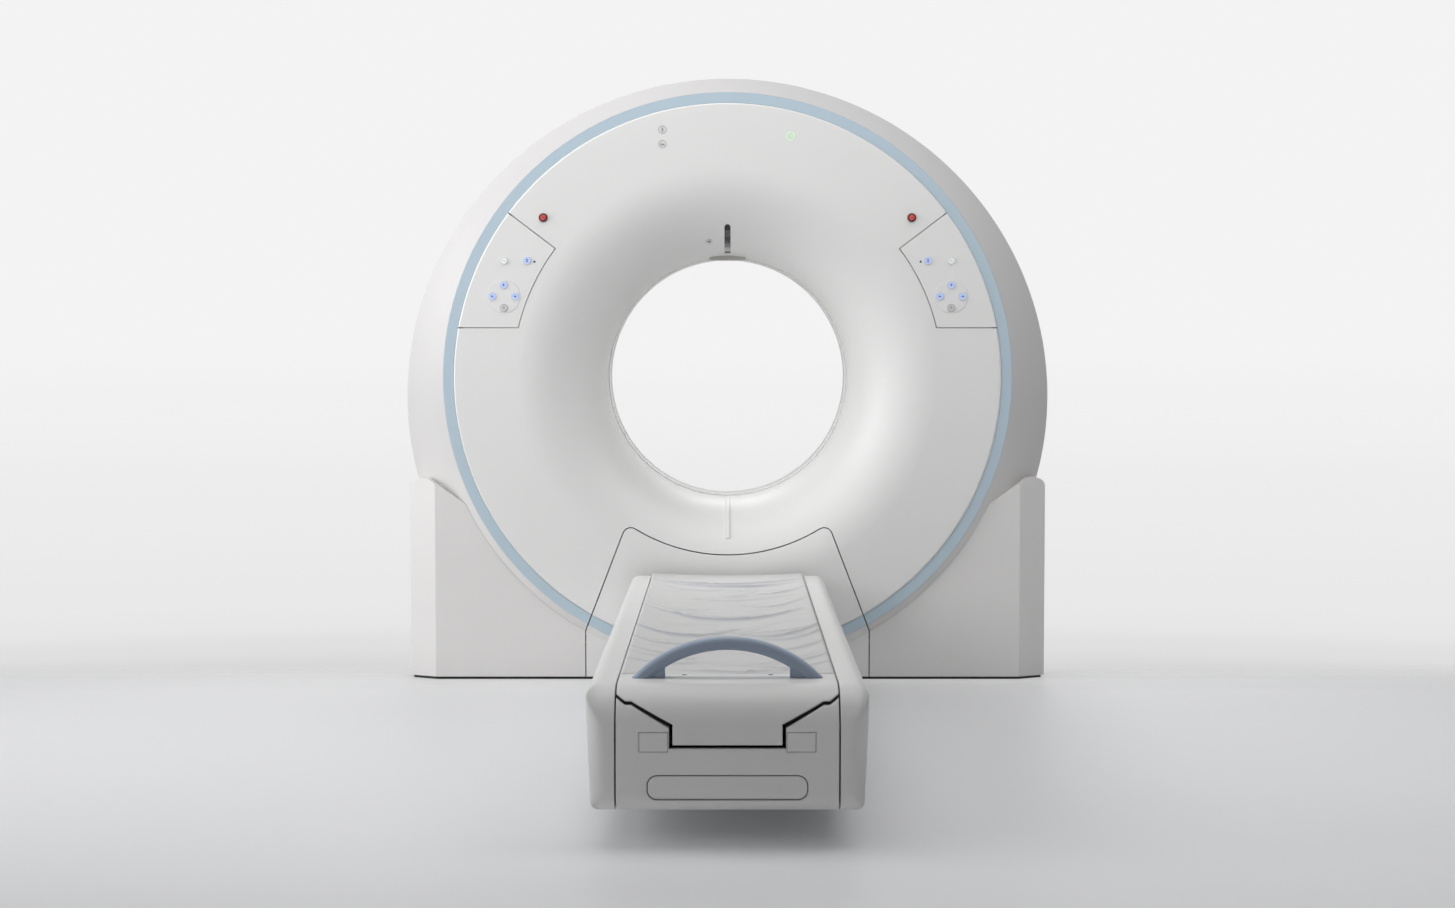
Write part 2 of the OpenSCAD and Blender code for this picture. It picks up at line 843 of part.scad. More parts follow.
module accent_lower() {
  color("lightsteelblue") intersection() {
    spin() accent_section();
    face_plate(0, front_f) lower_region(seam);
  }
}

// Controls

module control_panel_right() {
  back = front_f - cover_t;
  color("white") difference() {
    union() {
      intersection() {
        front_skin();
        face_plate(front_f - rim_h, front_f) ctrl_region(seam);
      }
      intersection() {
        face_plate(back - flange_t, back + cover_t / 2) difference() {
          ctrl_region(seam);
          ctrl_region(seam + flange_w);
        }
        face_plate(0, front_f) circle(face_r - cover_t / 2);
      }
      intersection() {
        face_plate(back - flange_t, back - seat_gap) difference() {
          ctrl_region(-flange_w);
          ctrl_region(seam + flange_w);
        }
        face_plate(0, front_f) circle(face_r - cover_t - flange_w);
      }
      face_plate(back, front_f + pad_t) translate(flat_spot(pad_share, pad_deg)) circle(pad_r);
    }
    face_plate(back - overrun, front_f + overrun) pad_spots() circle(button_r + button_gap);
    face_plate(back - overrun, front_f + overrun) translate(flat_spot(mic_share, mic_deg)) circle(d = mic_d);
  }
}

module control_panel_left() {
  mirror([1, 0, 0]) control_panel_right();
}

module button(p) {
  back = front_f - cover_t - flange_t;
  face_plate(back, front_f - cover_t - seat_gap) translate(p) circle(button_r + button_lip);
  face_plate(back, front_f + button_proud) translate(p) circle(button_r);
}

module pad_button(k) {
  button(flat_spot(pad_share, pad_deg) + pad_step * [cos(k * quarter), sin(k * quarter)]);
}

module button_right_out() {
  color("white") button(flat_spot(button_out_share, button_out_deg));
}

module button_right_in() {
  color("royalblue") button(flat_spot(button_in_share, button_in_deg));
}

module button_right_east() {
  color("royalblue") pad_button(0);
}

module button_right_up() {
  color("royalblue") pad_button(1);
}

module button_right_west() {
  color("royalblue") pad_button(2);
}

module button_right_down() {
  color("gray") pad_button(3);
}

module button_left_out() {
  mirror([1, 0, 0]) button_right_out();
}

module button_left_in() {
  mirror([1, 0, 0]) button_right_in();
}

module button_left_west() {
  mirror([1, 0, 0]) button_right_east();
}

module button_left_up() {
  mirror([1, 0, 0]) button_right_up();
}

module button_left_east() {
  mirror([1, 0, 0]) button_right_west();
}

module button_left_down() {
  mirror([1, 0, 0]) button_right_down();
}

module estop_right() {
  spot = flat_spot(estop_share, estop_deg);
  color("red") {
    face_plate(front_f - cover_t - flange_t, front_f + collar_proud) translate(spot) circle(estop_r);
    face() translate([spot[0], spot[1], front_f + collar_proud])
      cylinder(r1 = estop_r, r2 = estop_r - collar_t, h = estop_proud - collar_proud);
  }
}

module estop_left() {
  mirror([1, 0, 0]) estop_right();
}

module estop_collars() {
  color("black") both_sides() face_plate(front_f - cover_t - flange_t, front_f + collar_proud)
    translate(flat_spot(estop_share, estop_deg)) difference() {
      circle(collar_r);
      circle(estop_r + button_gap);
    }
}

module status_lamp() {
  color("palegreen") face_plate(front_f - cover_t, front_f + lamp_proud) translate(flat_spot(lamp_share, lamp_deg)) circle(lamp_r);
}

module icon_discs() {
  color("lightgray") face_plate(front_f - icon_t, front_f)
    icon_spots() circle(icon_r);
}

module laser_window() {
  color("black") intersection() {
    spin() cover_layer(laser_set, cover_t, face_r, front_f);
    face_plate(0, front_f) slot_region(laser_w, laser_low_r, laser_top_r, seat_gap);
  }
}

module laser_lens() {
  color("gray") difference() {
    face_plate(lens_f, lens_f + lens_len)
      translate([-lens_w / 2, bore_r - lens_drop]) square([lens_w, 2 * lens_drop]);
    spin() cover_block(-seat_gap, face_r, front_f);
  }
}

module round_sensor() {
  color("silver") sensor_post(0, cover_t - seat_gap);
}

// Rotor, turning about the aperture axis

module rotor_drum() {
  color("slategray") spin() {
    translate([disc_in_r, disc_back_f]) square([rotor_r - disc_in_r, disc_t]);
    translate([rotor_r - rotor_rim_t, disc_f - rotor_rim_h]) square([rotor_rim_t, rotor_rim_h]);
  }
}

module slip_ring() {
  color("peru") face_plate(slip_f, slip_f + slip_t) difference() {
    circle(slip_out_r);
    circle(slip_in_r);
  }
}

module xray_tube() {
  color("steelblue") face_plate(front_seat_f, front_seat_f + tube_h) translate([0, tube_c]) circle(tube_r);
}

module collimator() {
  top = tube_c - tube_r - seat_gap;
  color("dimgray") face_plate(front_seat_f, front_seat_f + colli_h)
    translate([-colli_w / 2, disc_in_r]) square([colli_w, top - disc_in_r]);
}

module detector_arc() {
  color("darkslategray") face() translate([0, tube_c, front_seat_f]) rotate(-90 - detector_deg)
    rotate_extrude(angle = 2 * detector_deg) translate([detector_r, 0]) square([detector_t, detector_h]);
}

module hv_unit() {
  color("slategray") face_plate(front_seat_f, front_seat_f + unit_d)
    translate([unit_in, -unit_h / 2]) square([unit_w, unit_h]);
}

module counterweight() {
  color("gray") face_plate(front_seat_f, front_seat_f + unit_d * weight_share)
    translate([-unit_in - unit_w, -unit_h / 2]) square([unit_w, unit_h]);
}

// Couch side at height z, and couch envelope set in by e

function side_at(z) = couch_half_w - couch_taper * (couch_top - couch_edge_r - z) / (couch_h - 2 * couch_edge_r);

module couch_section(e) {
  r = couch_edge_r - e;
  high = [couch_half_w - e, couch_top - couch_edge_r];
  low = [couch_half_w - couch_taper - e, couch_low + couch_edge_r];
  polygon([low, high, [-high[0], high[1]], [-low[0], low[1]]]);
  for (c = [low, high]) {
    in_x = c[0] - r - tip_ease;
    for (m = [-1, 1]) translate([m * in_x, c[1]]) circle(r);
    translate([-in_x, c[1] - r]) square([2 * in_x, 2 * r]);
  }
}

module nose_profile(e) {
  low = couch_low + e;
  high = couch_top - e;
  front = couch_front_f - e;
  translate([couch_rear_f, low]) square([couch_len - nose_r, high - low]);
  translate([couch_rear_f, low]) square([couch_len - chin_r, chin_r - e]);
  translate([couch_rear_f, couch_low + chin_r]) square([front - couch_rear_f, couch_top - nose_r - couch_low - chin_r]);
  translate([couch_front_f - nose_r, couch_top - nose_r]) circle(nose_r - e);
  translate([couch_front_f - chin_r, couch_low + chin_r]) circle(chin_r - e);
}

module couch_plan(e) {
  w = 2 * (couch_half_w - e);
  translate([-w / 2, e - couch_front_f]) rounded(w, couch_len + 2 * plan_r, plan_r - e);
}

module couch_envelope(e) {
  intersection() {
    ground_plate(couch_rear_f, couch_front_f + overrun) couch_section(e);
    rotate([90, 0, -90]) linear_extrude(2 * reach, center = true) nose_profile(e);
    linear_extrude(couch_top + overrun) couch_plan(e);
  }
}

// Area over the stepped seam: s moves the seam up and the tongue in

module over_step(s) {
  half = [[step_x[2] - s, step_z[3] + s], [step_x[2] - s, step_z[2] + s], [step_x[1], step_z[1] + s],
    [step_x[0], step_z[1] + s], [side_x, step_z[0] + s], [reach, step_z[0] + s], [reach, reach]];
  last = len(half) - 1;
  polygon(concat(half, [for (i = [0:last]) [-half[last - i][0], half[last - i][1]]]));
}

module under_step(s, half_w) {
  difference() {
    translate([-half_w, 0]) square([2 * half_w, couch_top]);
    over_step(s);
  }
}

module couch_side_right() {
  in_x = side_x + seam / 2;
  z0 = couch_low + strip_in[0];
  z1 = couch_top - strip_in[1];
  color("whitesmoke") {
    difference() {
      intersection() {
        couch_envelope(0);
        translate([in_x, -reach * 2, 0]) cube([reach, 2 * reach, reach]);
      }
      intersection() {
        couch_envelope(couch_t);
        translate([in_x + couch_t, -2 * reach, 0]) cube([reach, 2 * reach - couch_rear_f - couch_t, reach]);
      }
    }
    ground_plate(couch_rear_f + strip_end, couch_front_f - strip_end) polygon([[side_at(z0) - couch_t / 2, z0],
      [side_at(z0) + strip_t, z0], [side_at(z1) + strip_t, z1], [side_at(z1) - couch_t / 2, z1]]);
  }
}

module couch_side_left() {
  mirror([1, 0, 0]) couch_side_right();
}

module pill_area(e) {
  translate([e - pill[0] / 2, pill[2] + e]) rounded(pill[0] - 2 * e, pill[1] - 2 * e, pill_r - e);
}

module hatch_area(e) {
  for (m = [0, 1]) mirror([m, 0]) translate([step_x[2] + half_step + inset_seam + e, hatch[2] + e])
    square([hatch[0] - 2 * e, hatch[1] - 2 * e]);
}

module end_layer(e0, e1) {
  difference() {
    couch_envelope(e0);
    couch_envelope(e1);
  }
}

module couch_end_cover() {
  half = side_x - seam / 2;
  color("whitesmoke") difference() {
    intersection() {
      end_layer(0, couch_t * 2);
      ground_plate(couch_front_f - nose_r, couch_front_f + overrun) under_step(-half_step, half);
    }
    intersection() {
      end_layer(0, inset_t);
      ground_plate(couch_front_f - nose_r, couch_front_f + overrun) {
        pill_area(0);
        hatch_area(0);
      }
    }
  }
}

module pill_panel() {
  color("white") intersection() {
    end_layer(0, inset_t - seat_gap);
    ground_plate(couch_front_f - nose_r, couch_front_f + overrun) pill_area(inset_seam);
  }
}

module hatch_covers() {
  color("white") intersection() {
    end_layer(0, inset_t - seat_gap);
    ground_plate(couch_front_f - nose_r, couch_front_f + overrun) hatch_area(inset_seam / 2);
  }
}

module stage(k, low, high) {
  x = column[0] + k * stage_step;
  y = column[1] + k * stage_step;
  translate([0, -lift_f, low]) linear_extrude(high - low) difference() {
    square([2 * x, 2 * y], center = true);
    square([2 * (x - stage_t), 2 * (y - stage_t)], center = true);
  }
}

module couch_frame() {
  half = side_x + seam / 2 - seat_gap;
  front = couch_front_f - nose_r - seat_gap;
  sleeve = [column[0] + 4 * stage_step, column[1] + 4 * stage_step];
  deck = step_z[3] - half_step - trough_t;
  color("gray") {
    ground_plate(couch_rear_f + trough_t, front) difference() {
      under_step(-half_step, half);
      translate([0, -trough_t]) under_step(-half_step - trough_t, half + overrun);
      translate([-reach, 0]) square([2 * reach, deck]);
    }
    ground_plate(couch_rear_f + trough_t, front) for (m = [0, 1]) mirror([m, 0])
      translate([guide_x - guide_w, deck]) square([guide_w, trough_t + step_gap - seat_gap]);
    stage(4, stage_low, deck + trough_t / 2);
    translate([0, 0, couch_low]) linear_extrude(trough_t) difference() {
      translate([-half, -front]) square([2 * half, front - couch_rear_f - trough_t]);
      translate([0, -lift_f]) square([2 * sleeve[0] - stage_t, 2 * sleeve[1] - stage_t], center = true);
    }
  }
}

module couch_plate() {
  color("dimgray") difference() {
    translate([0, -lift_f, 0]) linear_extrude(plate_t) square(2 * plate, center = true);
    for (x = [-couch_anchor[0], couch_anchor[0]] / 2, y = [-couch_anchor[1], couch_anchor[1]] / 2)
      translate([x, y - lift_f, -overrun]) cylinder(d = anchor_d, h = plate_t + 2 * overrun);
  }
}

module lift_column() {
  color("silver") stage(0, plate_t + seat_gap, stage_top);
}

module lift_stage_1() {
  color("silver") stage(1, stage_low, stage_top);
}

module lift_stage_2() {
  color("silver") stage(2, stage_low, stage_top);
}

module lift_stage_3() {
  color("silver") stage(3, stage_low, stage_top);
}

module lift_motor() {
  color("darkslategray") translate([-motor[0] / 2, -lift_f - motor[1] / 2, plate_t + seat_gap]) cube(motor);
}

// Tabletop

module tabletop() {
  keel = step_x[2] - half_step;
  low = step_z[3] + half_step;
  color("dimgray") ground_plate(couch_rear_f, cap_f - seat_gap) {
    translate([-table_half_w, table_z]) square([2 * table_half_w, table_t]);
    difference() {
      translate([-keel, low]) square([2 * keel, table_z + table_t / 2 - low]);
      translate([keel_t - keel, low + keel_t]) square([2 * (keel - keel_t), table_z - low - keel_t]);
    }
  }
}

module mattress() {
  color("white") ground_plate(couch_rear_f + mattress_end, cap_f - mattress_end)
    translate([-mattress_half_w, mattress_z]) rounded(2 * mattress_half_w, mattress_h, mattress_r);
}

module end_cap() {
  half = side_x - seam / 2;
  color("whitesmoke") intersection() {
    difference() {
      couch_envelope(0);
      intersection() {
        couch_envelope(couch_t);
        ground_plate(cap_f + couch_t, couch_front_f) difference() {
          square([2 * half, 2 * couch_top], center = true);
          translate([-half, 0]) square([2 * half, step_z[3] + half_step + couch_t]);
        }
        ground_plate(cap_f + couch_t, couch_front_f) over_step(half_step + couch_t);
      }
    }
    ground_plate(cap_f, couch_front_f + overrun) intersection() {
      over_step(half_step);
      translate([-half, 0]) square([2 * half, couch_top]);
    }
  }
}

module handle() {
  z0 = couch_top + seat_gap;
  color("lightsteelblue") {
    intersection() {
      ground() translate([0, handle_c, handle_f]) rotate_extrude() translate([handle_in_r, 0])
        rounded(handle_t, handle_d, handle_edge);
      translate([-handle_r, -reach * 2, z0]) cube([2 * handle_r, 2 * reach, handle_h + overrun]);
    }
    ground_plate(handle_f + handle_edge / 2, handle_f + handle_d - handle_edge / 2) intersection() {
      translate([0, handle_c]) circle(handle_r - handle_edge / 2);
      for (m = [0, 1]) mirror([m, 0]) translate([handle_in, z0]) square([handle_r, foot_h]);
    }
  }
}

floor_frame();
plinth();
bearing_support();
bearing_outer();
drive_stator();
brush_block();
front_cover();
accent_ring();
outer_shell();
rear_cover();
scan_window();
base_cover_left();
base_cover_right();
lower_panel();
accent_lower();
control_panel_left();
control_panel_right();
estop_collars();
status_lamp();
icon_discs();
laser_window();
laser_lens();
round_sensor();
rotor_drum();
slip_ring();
xray_tube();
collimator();
detector_arc();
hv_unit();
counterweight();
button_left_out();
button_left_in();
button_left_up();
button_left_down();
button_left_west();
button_left_east();
button_right_out();
button_right_in();
button_right_up();
button_right_down();
button_right_west();
button_right_east();
estop_left();
estop_right();
couch_plate();
lift_column();
lift_motor();
lift_stage_1();
lift_stage_2();
lift_stage_3();
couch_frame();
couch_side_left();
couch_side_right();
couch_end_cover();
pill_panel();
hatch_covers();
tabletop();
mattress();
end_cap();
handle();
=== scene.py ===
import json
import math

import bpy
import numpy as np
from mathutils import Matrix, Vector


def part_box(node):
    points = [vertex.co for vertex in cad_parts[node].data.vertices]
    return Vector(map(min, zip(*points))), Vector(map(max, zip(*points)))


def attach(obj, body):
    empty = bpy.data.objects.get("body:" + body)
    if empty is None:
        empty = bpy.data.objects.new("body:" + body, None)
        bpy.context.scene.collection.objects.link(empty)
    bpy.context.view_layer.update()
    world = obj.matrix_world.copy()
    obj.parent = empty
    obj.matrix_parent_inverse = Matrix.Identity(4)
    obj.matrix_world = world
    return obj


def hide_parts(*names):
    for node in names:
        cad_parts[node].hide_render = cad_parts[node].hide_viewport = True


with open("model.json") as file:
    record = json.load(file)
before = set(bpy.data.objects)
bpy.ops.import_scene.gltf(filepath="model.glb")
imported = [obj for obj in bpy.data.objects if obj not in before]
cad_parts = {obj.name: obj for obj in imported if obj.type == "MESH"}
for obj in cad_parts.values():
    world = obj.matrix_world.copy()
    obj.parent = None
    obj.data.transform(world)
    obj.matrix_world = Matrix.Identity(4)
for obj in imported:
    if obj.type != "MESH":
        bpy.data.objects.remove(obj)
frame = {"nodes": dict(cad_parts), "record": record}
nodes = frame["nodes"]
scene = bpy.context.scene
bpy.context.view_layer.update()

SIDES = ("left", "right")
COOL_WHITE = (0.98, 0.99, 1.0, 1.0)


# Shader helpers

NOISE_SPAN = (0.3, 0.7)


def new_material(name):
    """Material with one principled shader."""
    mat = bpy.data.materials.new(name)
    mat.use_nodes = True
    tree = mat.node_tree
    tree.nodes.clear()
    out = tree.nodes.new("ShaderNodeOutputMaterial")
    bsdf = tree.nodes.new("ShaderNodeBsdfPrincipled")
    tree.links.new(bsdf.outputs["BSDF"], out.inputs["Surface"])
    return mat, tree, bsdf


def find(mat, kind):
    """First node of a kind in a material."""
    return next(n for n in mat.node_tree.nodes if n.type == kind)


def axes(tree, source="Object"):
    """X, Y and Z of a texture coordinate."""
    coord = tree.nodes.new("ShaderNodeTexCoord")
    split = tree.nodes.new("ShaderNodeSeparateXYZ")
    tree.links.new(coord.outputs[source], split.inputs["Vector"])
    return split.outputs


def noise(tree, scale, detail, stretch=(1.0, 1.0, 1.0)):
    """Noise in the object's own coordinates."""
    coord = tree.nodes.new("ShaderNodeTexCoord")
    mapping = tree.nodes.new("ShaderNodeMapping")
    mapping.inputs["Scale"].default_value = stretch
    tex = tree.nodes.new("ShaderNodeTexNoise")
    tex.inputs["Scale"].default_value = scale
    tex.inputs["Detail"].default_value = detail
    tree.links.new(coord.outputs["Object"], mapping.inputs["Vector"])
    tree.links.new(mapping.outputs["Vector"], tex.inputs["Vector"])
    return tex.outputs["Fac"]


def remap(tree, socket, source, target=(0.0, 1.0), smooth=False):
    """Value taken from one range to another and held at its ends."""
    node = tree.nodes.new("ShaderNodeMapRange")
    if smooth:
        node.interpolation_type = "SMOOTHSTEP"
    for key, value in zip(("From Min", "From Max", "To Min", "To Max"), (*source, *target)):
        node.inputs[key].default_value = value
    tree.links.new(socket, node.inputs["Value"])
    return node.outputs["Result"]


def blend(tree, factor, first, second, kind="RGBA"):
    """Mix of two values, each a constant or a socket."""
    node = tree.nodes.new("ShaderNodeMix")
    node.data_type = kind
    tree.links.new(factor, node.inputs["Factor"])
    for key, value in (("A", first), ("B", second)):
        if isinstance(value, bpy.types.NodeSocket):
            tree.links.new(value, node.inputs[key])
        else:
            node.inputs[key].default_value = value
    return node.outputs["Result"]


def tint(tree, factor, color, spread):
    """Colour that drifts by a share to either side."""
    dark = [c * (1.0 - spread) for c in color]
    light = [min(1.0, c * (1.0 + spread)) for c in color]
    return blend(tree, factor, (*dark, 1.0), (*light, 1.0))


def grey_ramp(tree, factor, stops, cast=(1.0, 1.0, 1.0)):
    """Ramp through stops of place and tone, all with the same colour cast."""
    node = tree.nodes.new("ShaderNodeValToRGB")
    elements = node.color_ramp.elements
    while len(elements) < len(stops):
        elements.new(0.5)
    for stop, (place, tone) in zip(elements, stops):
        stop.position = place
        stop.color = (*[tone * c for c in cast], 1.0)
    tree.links.new(factor, node.inputs["Fac"])
    return node


# Materials

DRIFT_SCALE, DRIFT_DETAIL = 2.3, 4.0
ROUGH_SCALE, ROUGH_DETAIL, ROUGH_SHARE = 37.0, 5.0, 0.08
GRAIN_DETAIL, GRAIN_DEPTH = 2.0, 0.0004
LENS_SCALE, LENS_DETAIL, LENS_SPREAD, GLOW_SPREAD = 160.0, 2.0, 0.05, 0.12
COAT_ROUGH = 0.18
EDGE_SAMPLES = 6


def surface(
    name, color, rough, spread=0.012, grain=900.0, bump=0.02,
    coat=0.0, metal=0.0, stretch=(1, 1, 1), edge=0.0,
):
    """Moulded or painted surface: slow tint drift, roughness drift, fine grain and softened edges."""
    mat, tree, bsdf = new_material(name)
    slow = remap(tree, noise(tree, DRIFT_SCALE, DRIFT_DETAIL, stretch), NOISE_SPAN)
    mid = noise(tree, ROUGH_SCALE, ROUGH_DETAIL, stretch)
    rough_span = (rough * (1.0 - ROUGH_SHARE), rough * (1.0 + ROUGH_SHARE))
    tree.links.new(tint(tree, slow, color, spread), bsdf.inputs["Base Color"])
    tree.links.new(remap(tree, mid, NOISE_SPAN, rough_span), bsdf.inputs["Roughness"])
    bsdf.inputs["Metallic"].default_value = metal
    bsdf.inputs["Coat Weight"].default_value = coat
    bsdf.inputs["Coat Roughness"].default_value = COAT_ROUGH
    relief = tree.nodes.new("ShaderNodeBump")
    relief.inputs["Strength"].default_value = bump
    relief.inputs["Distance"].default_value = GRAIN_DEPTH
    tree.links.new(noise(tree, grain, GRAIN_DETAIL, stretch), relief.inputs["Height"])
    if edge > 0.0:
        soft = tree.nodes.new("ShaderNodeBevel")
        soft.samples = EDGE_SAMPLES
        soft.inputs["Radius"].default_value = edge
        tree.links.new(soft.outputs["Normal"], relief.inputs["Normal"])
    tree.links.new(relief.outputs["Normal"], bsdf.inputs["Normal"])
    return mat


def lit(name, color, glow, strength, rough=0.25):
    """Backlit lens whose colour and glow drift a little."""
    mat, tree, bsdf = new_material(name)
    drift = remap(tree, noise(tree, LENS_SCALE, LENS_DETAIL), NOISE_SPAN)
    tree.links.new(tint(tree, drift, color, LENS_SPREAD), bsdf.inputs["Base Color"])
    tree.links.new(tint(tree, drift, glow, GLOW_SPREAD), bsdf.inputs["Emission Color"])
    bsdf.inputs["Emission Strength"].default_value = strength
    bsdf.inputs["Roughness"].default_value = rough
    return mat


COUCH_TONE, COUCH_ROUGH, COUCH_EDGE = (0.748, 0.742, 0.737), 0.42, 0.005

MATERIALS = {
    "cover_white": surface("cover_white", (0.84, 0.84, 0.83), 0.42, edge=0.0015),
    "base_white": surface("base_white", (0.790, 0.777, 0.769), 0.46, edge=0.0012),
    "couch_white": surface("couch_white", COUCH_TONE, COUCH_ROUGH, edge=COUCH_EDGE),
    "accent_blue": surface("accent_blue", (0.51, 0.63, 0.72), 0.40, edge=0.0015),
    "handle_blue": surface("handle_blue", (0.29, 0.355, 0.455), 0.38, edge=0.004),
    "plinth_black": surface("plinth_black", (0.015, 0.015, 0.015), 0.6),
    "scan_film": surface("scan_film", (0.84, 0.84, 0.83), 0.25),
    "frame_grey": surface("frame_grey", (0.25, 0.26, 0.27), 0.5),
    "bearing_steel": surface("bearing_steel", (0.55, 0.55, 0.56), 0.32, metal=1.0),
    "stage_alu": surface("stage_alu", (0.66, 0.67, 0.68), 0.36, metal=0.9, stretch=(1, 1, 12)),
    "unit_dark": surface("unit_dark", (0.10, 0.105, 0.11), 0.5),
    "tube_blue": surface("tube_blue", (0.18, 0.24, 0.31), 0.42),
    "slip_brass": surface("slip_brass", (0.72, 0.52, 0.25), 0.3, metal=1.0),
    "collar_black": surface("collar_black", (0.02, 0.02, 0.02), 0.5),
    "stop_red": surface("stop_red", (0.50, 0.03, 0.025), 0.28, coat=0.4),
    "lamp_green": lit("lamp_green", (0.74, 0.86, 0.72), (0.62, 1.0, 0.56), 0.26),
    "icon_grey": surface("icon_grey", (0.76, 0.76, 0.755), 0.45),
    "window_black": surface("window_black", (0.008, 0.008, 0.01), 0.12, coat=0.5),
    "lens_grey": surface("lens_grey", (0.46, 0.45, 0.42), 0.35, coat=0.2),
    "sensor_pale": surface("sensor_pale", (0.66, 0.66, 0.65), 0.45),
    "button_white": lit("button_white", (0.86, 0.86, 0.83), (1.0, 1.0, 0.96), 0.10),
    "button_blue": lit("button_blue", (0.50, 0.60, 0.86), (0.35, 0.48, 1.0), 0.22),
    "button_grey": surface("button_grey", (0.70, 0.70, 0.695), 0.4),
    "sign_black": surface("sign_black", (0.012, 0.012, 0.012), 0.6),
    "sign_grey": surface("sign_grey", (0.22, 0.22, 0.23), 0.5),
    "sign_blue": surface("sign_blue", (0.09, 0.13, 0.45), 0.4),
    "sign_pale": surface("sign_pale", (0.74, 0.78, 0.86), 0.35),
    "sign_cream": surface("sign_cream", (0.52, 0.51, 0.48), 0.4),
    "sign_rose": surface("sign_rose", (0.62, 0.32, 0.30), 0.4),
    "sign_green": surface("sign_green", (0.46, 0.62, 0.44), 0.35),
    "table_carbon": surface("table_carbon", (0.05, 0.05, 0.055), 0.4, stretch=(30, 1, 1)),
    "sheet_white": surface("sheet_white", (0.622, 0.618, 0.615), 0.55, grain=1400.0, bump=0.15),
}

SHELL_TONE, SHELL_ROUGH = (0.652, 0.640, 0.640), 0.5
# Painted light: the shell's lighter foot tone, and the heights over which it fades in.
SHELL_FOOT_PAINTED_LIGHT, SHELL_PAINTED_LIGHT_Z = (0.75, 0.738, 0.730, 1.0), (0.45, 0.85)


def shell_paint():
    """Outer shell, painted a little lighter down by the base covers, as painted light against the shade
    that falls there.
    """
    mat = surface("shell_white", SHELL_TONE, SHELL_ROUGH)
    tree = mat.node_tree
    base = find(mat, "BSDF_PRINCIPLED").inputs["Base Color"]
    upper = base.links[0].from_socket
    level = remap(tree, axes(tree)["Z"], SHELL_PAINTED_LIGHT_Z, smooth=True)
    tree.links.new(blend(tree, level, SHELL_FOOT_PAINTED_LIGHT, upper), base)
    return mat


SEAM_IN, CORNER_IN = 0.005, 0.010
PANEL_EDGES = (0.004, 0.035)


def side_panel_paint(node):
    """Couch side panel, shaded crisp along its seam and softly round at its outer corners."""
    mat = surface(node + "_white", COUCH_TONE, COUCH_ROUGH, edge=COUCH_EDGE)
    tree = mat.node_tree
    seam, corner = sorted(abs(c[0]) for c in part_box(node))
    outward = tree.nodes.new("ShaderNodeMath")
    outward.operation = "ABSOLUTE"
    tree.links.new(axes(tree)["X"], outward.inputs[0])
    width = (seam + SEAM_IN, corner - CORNER_IN)
    radius = remap(tree, outward.outputs["Value"], width, PANEL_EDGES)
    tree.links.new(radius, find(mat, "BEVEL").inputs["Radius"])
    return mat


GLASS_CAST = (1.0, 0.97, 1.04)
# Bands in the dark glass: the optics behind it and their painted reflection.
GLASS_OPTICS_AND_REFLECTION = [
    (0.00, 0.010), (0.05, 0.010), (0.08, 0.50), (0.17, 0.42), (0.21, 0.22), (0.31, 0.17), (0.35, 0.07),
    (0.44, 0.05), (0.47, 0.008), (0.54, 0.008), (0.58, 0.07), (0.78, 0.05), (0.82, 0.008),
]


def window_optics_and_reflection():
    """Line laser window: the optics behind the dark glass and their painted reflection, as bands down its
    length.
    """
    mat = MATERIALS["window_black"]
    tree = mat.node_tree
    low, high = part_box("laser_window")
    level = remap(tree, axes(tree)["Z"], (low[2], high[2]))
    bands = grey_ramp(tree, level, GLASS_OPTICS_AND_REFLECTION, GLASS_CAST)
    tree.links.new(bands.outputs["Color"], find(mat, "BSDF_PRINCIPLED").inputs["Base Color"])


def paint(node, mat):
    mesh = nodes[node].data
    mesh.materials.clear()
    mesh.materials.append(mat)


window_optics_and_reflection()
for part in frame["record"]["subparts"]:
    paint(part["node"], MATERIALS[part["material_slot"]])
paint("outer_shell", shell_paint())
for side in SIDES:
    paint(f"couch_side_{side}", side_panel_paint(f"couch_side_{side}"))


# Mattress with its creased cover

ACROSS, ALONG = 110, 700
TUCK = 0.0021
MIDDLE_SHARE, SIDE_SHARE, SIDE_POWER = 0.62, 0.38, 2.2
TAIL_RISE, TAIL_START_SHARE, TAIL_POWER = 0.010, 0.985, 1.5
SIDE_ROUND, SIDE_ROUND_SHARE, END_ROUND = 0.005, 0.3, 0.010
RIM_HEIGHT, LOWEST, HIGHEST = 0.002, 0.001, 0.010
SMOOTH_ANGLE = 1.2

BOW, SWING, TIP_POWER = 2.2, 2.6, 0.7
STEEP, FOLD_SHARE, FOLD_PLACE, FOLD_SPREAD = 5.0, 0.8, 0.75, 0.10
SHADE_PLACE, SHADE_SPREAD, SHADE_POWER, SHADE_MOST = -0.4, 0.6, 1.6, 0.82
FULL_SHADE_HEIGHT = 0.0050
# Painted shade: the tone of the crease shoulders, mixed in by the fold attribute.
CREASE_SHADE_TONE = (0.34, 0.355, 0.405, 1.0)

